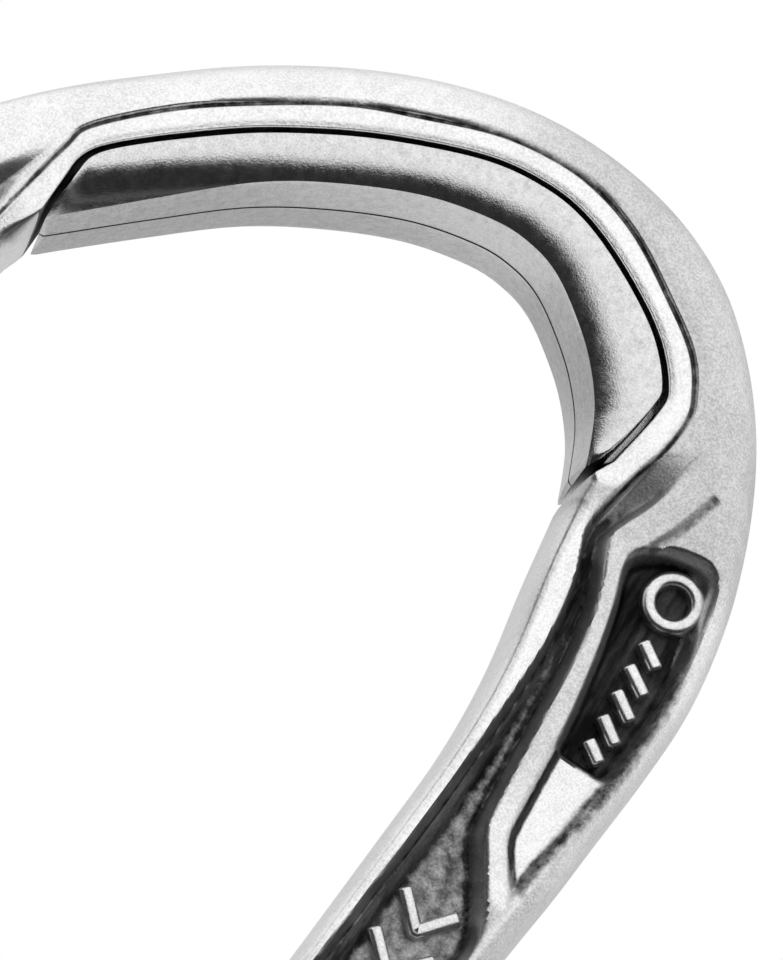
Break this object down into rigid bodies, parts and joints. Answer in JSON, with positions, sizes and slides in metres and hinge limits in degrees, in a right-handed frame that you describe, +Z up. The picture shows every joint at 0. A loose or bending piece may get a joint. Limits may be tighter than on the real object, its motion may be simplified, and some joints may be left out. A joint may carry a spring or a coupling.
{
  "type": "climbing quickdraw",
  "caption": "Climbing quickdraw: forged carabiners with steel wear inserts and sprung gates, joined by a sewn webbing sling with a rubber keeper.",
  "frame": {"origin": "bearing point of the bolt-end carabiner: mid thickness, on the inner surface of its steel insert, where a bolt hanger carries it", "axes": "+Z up along the hanging quickdraw, +X towards both carabiners spines, +Y from the front to the back, across their thickness"},
  "size_m": [0.0605, 0.017, 0.2976],
  "materials": {
    "forging": "tumbled and dark in its recesses",
    "insert": "fine ground and bright",
    "gate_alloy": "tumbled",
    "pin_steel": "satin",
    "webbing": "woven, matt",
    "thread": "sewn",
    "keeper_rubber": "matt",
    "label_cloth": "woven, matt"
  },
  "bodies": {
    "bolt_frame": {"bolt_carabiner_body": "forging", "bolt_steel_insert": "insert", "bolt_gate_rivet": "pin_steel"},
    "bolt_gate": {"bolt_gate": "gate_alloy", "bolt_gate_spring": "pin_steel"},
    "bolt_plunger": {"bolt_gate_plunger": "pin_steel"},
    "bolt_loop": {"sling_bolt_loop": "webbing"},
    "strap": {"sling_strap": "webbing", "bartack_1": "thread", "bartack_2": "thread", "bartack_3": "thread", "bartack_4": "thread", "sewn_label": "label_cloth"},
    "rope_loop": {"sling_rope_loop": "webbing", "rubber_keeper": "keeper_rubber"},
    "rope_frame": {"rope_carabiner_body": "forging", "rope_steel_insert": "insert", "rope_gate_rivet": "pin_steel"},
    "rope_gate": {"rope_gate": "gate_alloy", "rope_gate_spring": "pin_steel"},
    "rope_plunger": {"rope_gate_plunger": "pin_steel"}
  },
  "joints": [
    {"name": "bolt_gate_hinge", "type": "hinge", "parent": "bolt_frame", "child": "bolt_gate", "pos_m": [-0.0173, 0, -0.0665], "axis": [0, 1, 0], "range_deg": [0, 28], "stiffness_Nm_per_rad": 0.15, "springref_deg": -68.75},
    {"name": "bolt_plunger_slide", "type": "slide", "parent": "bolt_gate", "child": "bolt_plunger", "axis": [-0.2832, 0, 0.959], "range_m": [0, 0.0015], "deforming": ["bolt_gate_spring"]},
    {"name": "bolt_loop_swing", "type": "hinge", "parent": "bolt_frame", "child": "bolt_loop", "pos_m": [0, 0, -0.071], "axis": [0, 1, 0], "range_deg": [-30, 30]},
    {"name": "bolt_throat_bend", "type": "hinge", "parent": "bolt_loop", "child": "strap", "pos_m": [0, 0, -0.1015], "axis": [1, 0, 0], "range_deg": [-40, 40]},
    {"name": "rope_throat_bend", "type": "hinge", "parent": "strap", "child": "rope_loop", "pos_m": [0, 0, -0.1779], "axis": [1, 0, 0], "range_deg": [-40, 40]},
    {"name": "rope_carabiner_swing", "type": "hinge", "parent": "rope_loop", "child": "rope_frame", "pos_m": [0, 0, -0.2084], "axis": [0, 1, 0], "range_deg": [-15, 15], "stiffness_Nm_per_rad": 0.05},
    {"name": "rope_gate_hinge", "type": "hinge", "parent": "rope_frame", "child": "rope_gate", "pos_m": [-0.0173, 0, -0.2129], "axis": [0, -1, 0], "range_deg": [0, 28], "stiffness_Nm_per_rad": 0.15, "springref_deg": -68.75},
    {"name": "rope_plunger_slide", "type": "slide", "parent": "rope_gate", "child": "rope_plunger", "axis": [-0.2832, 0, -0.959], "range_m": [0, 0.0015], "deforming": ["rope_gate_spring"]}
  ],
  "couplings": [
    {"joint": "bolt_plunger_slide", "follows": "bolt_gate_hinge", "m_per_rad": 0.0028},
    {"joint": "rope_plunger_slide", "follows": "rope_gate_hinge", "m_per_rad": 0.0028}
  ]
}
